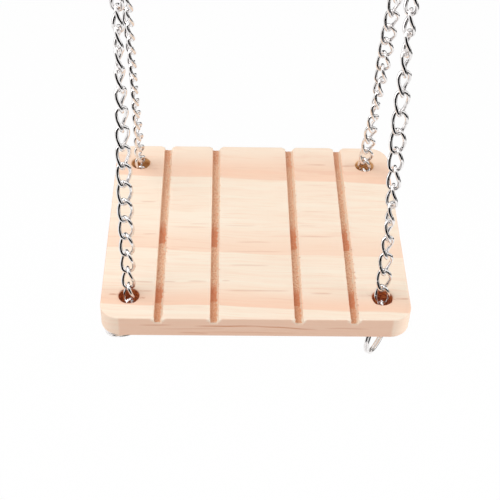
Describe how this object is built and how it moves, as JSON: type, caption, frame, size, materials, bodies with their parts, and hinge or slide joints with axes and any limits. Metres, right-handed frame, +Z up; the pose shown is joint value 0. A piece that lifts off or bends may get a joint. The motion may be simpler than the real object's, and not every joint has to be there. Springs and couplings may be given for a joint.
{
  "type": "hamster swing",
  "caption": "Pet swing: a grooved wooden seat board hung at its corners on twisted-link chains, stopped below by split rings and gathered by a ring and hook on each side.",
  "frame": {"origin": "centre of the seat board's top face", "axes": "+X to the right along the front edge, +Y to the back, +Z up"},
  "size_m": [0.12, 0.105, 0.2357],
  "materials": {
    "wood": "matte",
    "metal": "polished"
  },
  "bodies": {
    "hooks": {"left_hook": "metal", "right_hook": "metal"},
    "left_top": {"left_top_ring": "metal"},
    "right_top": {"right_top_ring": "metal"},
    "left_chains": {"front_left_chain": "metal", "back_left_chain": "metal"},
    "right_chains": {"front_right_chain": "metal", "back_right_chain": "metal"},
    "seat": {"seat_board": "wood", "front_left_lead_link": "metal", "front_right_lead_link": "metal", "back_left_lead_link": "metal", "back_right_lead_link": "metal", "front_left_anchor_link": "metal", "front_right_anchor_link": "metal", "back_left_anchor_link": "metal", "back_right_anchor_link": "metal"},
    "front_left_stop": {"front_left_stop_ring": "metal"},
    "front_right_stop": {"front_right_stop_ring": "metal"},
    "back_left_stop": {"back_left_stop_ring": "metal"},
    "back_right_stop": {"back_right_stop_ring": "metal"}
  },
  "joints": [
    {"name": "swing_left", "type": "hinge", "parent": "hooks", "child": "left_top", "pos_m": [-0.0492, 0, 0.18544], "axis": [1, 0, 0], "range_deg": [-40, 40]},
    {"name": "swing_right", "type": "hinge", "parent": "hooks", "child": "right_top", "pos_m": [0.0492, 0, 0.18544], "axis": [1, 0, 0], "range_deg": [-40, 40]},
    {"name": "sway_left", "type": "hinge", "parent": "left_top", "child": "left_chains", "pos_m": [-0.0492, 0, 0.16877], "axis": [0, 1, 0], "range_deg": [-20, 20]},
    {"name": "sway_right", "type": "hinge", "parent": "right_top", "child": "right_chains", "pos_m": [0.0492, 0, 0.16877], "axis": [0, 1, 0], "range_deg": [-20, 20]},
    {"name": "seat_level", "type": "hinge", "parent": "left_chains", "child": "seat", "pos_m": [-0.0492, 0, 0.00369], "axis": [0, 1, 0], "range_deg": [-20, 20]},
    {"name": "front_left_ring_turn", "type": "hinge", "parent": "seat", "child": "front_left_stop", "pos_m": [-0.05015, -0.0377, -0.01867], "axis": [0.3271, -0.8986, -0.2924], "continuous": true},
    {"name": "front_right_ring_turn", "type": "hinge", "parent": "seat", "child": "front_right_stop", "pos_m": [0.0492, -0.0403, -0.01909], "axis": [0.848, -0.5299, 0], "continuous": true},
    {"name": "back_left_ring_turn", "type": "hinge", "parent": "seat", "child": "back_left_stop", "pos_m": [-0.0492, 0.0403, -0.01909], "axis": [0.5736, 0.8192, 0], "continuous": true},
    {"name": "back_right_ring_turn", "type": "hinge", "parent": "seat", "child": "back_right_stop", "pos_m": [0.0492, 0.0403, -0.01909], "axis": [0.9962, 0.0872, 0], "continuous": true}
  ],
  "couplings": [
    {"joint": "swing_right", "follows": "swing_left", "ratio": 1},
    {"joint": "sway_right", "follows": "sway_left", "ratio": 1},
    {"joint": "seat_level", "follows": "sway_left", "ratio": -1}
  ]
}
